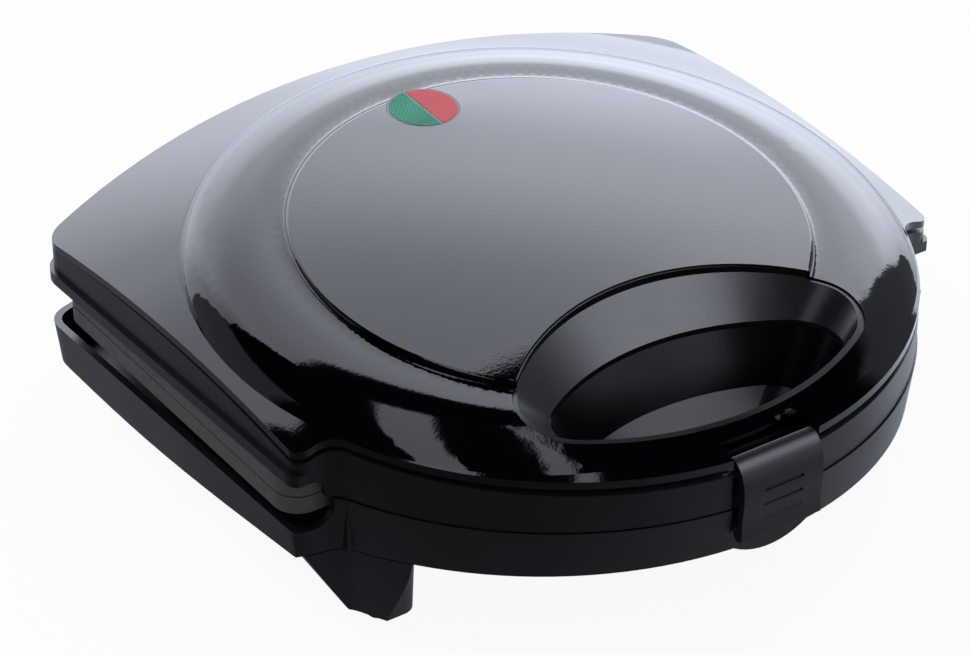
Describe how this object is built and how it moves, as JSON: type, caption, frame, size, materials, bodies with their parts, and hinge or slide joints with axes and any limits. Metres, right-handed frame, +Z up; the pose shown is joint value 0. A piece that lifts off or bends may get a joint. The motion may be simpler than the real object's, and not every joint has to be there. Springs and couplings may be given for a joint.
{
  "type": "sandwich toaster",
  "caption": "Clamshell sandwich toaster with a round domed lid, a hand opening at the front, a swinging front latch and a two-colour indicator lamp.",
  "frame": {"origin": "centre of the footprint on the table, under the middle of the object's box", "axes": "+Z up; the latch and hand opening face -Y, the hinge is at +Y; +X is to the right seen from the front"},
  "size_m": [0.2374, 0.2475, 0.0866],
  "materials": {
    "satin_black": "satin",
    "gloss_black": "high gloss",
    "coated_plate": "non-stick coating",
    "element_sheath": "dull, heat tinted",
    "zinc_steel": "zinc plated",
    "bright_sheet": "rolled",
    "wire_sleeve": "woven glass sleeve",
    "ceramic": "unglazed ceramic",
    "pad_rubber": "matt",
    "dark_seat": "satin",
    "lens_green": "clear lens with a fine grid behind",
    "lens_red": "clear lens",
    "lamp_glass": "clear"
  },
  "bodies": {
    "base": {"base_housing": "satin_black", "handle_deck": "gloss_black", "catch_post": "satin_black", "lower_plate": "coated_plate", "plate_screws_lower": "zinc_steel", "lower_element": "element_sheath", "lower_shield": "bright_sheet", "thermostat": "zinc_steel", "thermal_fuse": "wire_sleeve", "terminal_block": "ceramic", "base_wires": "wire_sleeve", "cord_gland": "pad_rubber", "front_feet": "satin_black", "rear_feet": "satin_black", "foot_pads": "pad_rubber", "base_hinges": "zinc_steel", "base_hinge_screws": "zinc_steel", "hinge_pins": "zinc_steel"},
    "lid": {"lid_cover": "gloss_black", "lid_skirt": "satin_black", "handle_bezel": "satin_black", "handle_cup": "gloss_black", "indicator_ring": "dark_seat", "indicator_green": "lens_green", "indicator_red": "lens_red", "lamp_holder": "dark_seat", "neon_lamps": "lamp_glass", "upper_plate": "coated_plate", "plate_screws_upper": "zinc_steel", "upper_element": "element_sheath", "upper_shield": "bright_sheet", "lid_wires": "wire_sleeve", "lid_hinges": "zinc_steel", "lid_hinge_screws": "zinc_steel", "latch_pin": "zinc_steel"},
    "latch": {"latch_clip": "satin_black"}
  },
  "joints": [
    {"name": "lid_hinge", "type": "hinge", "parent": "base", "child": "lid", "pos_m": [0, 0.11825, 0.0438], "axis": [-1, 0, 0], "range_deg": [0, 100]},
    {"name": "latch_pivot", "type": "hinge", "parent": "lid", "child": "latch", "pos_m": [0, -0.11575, 0.0528], "axis": [-1, 0, 0], "range_deg": [0, 40]}
  ]
}
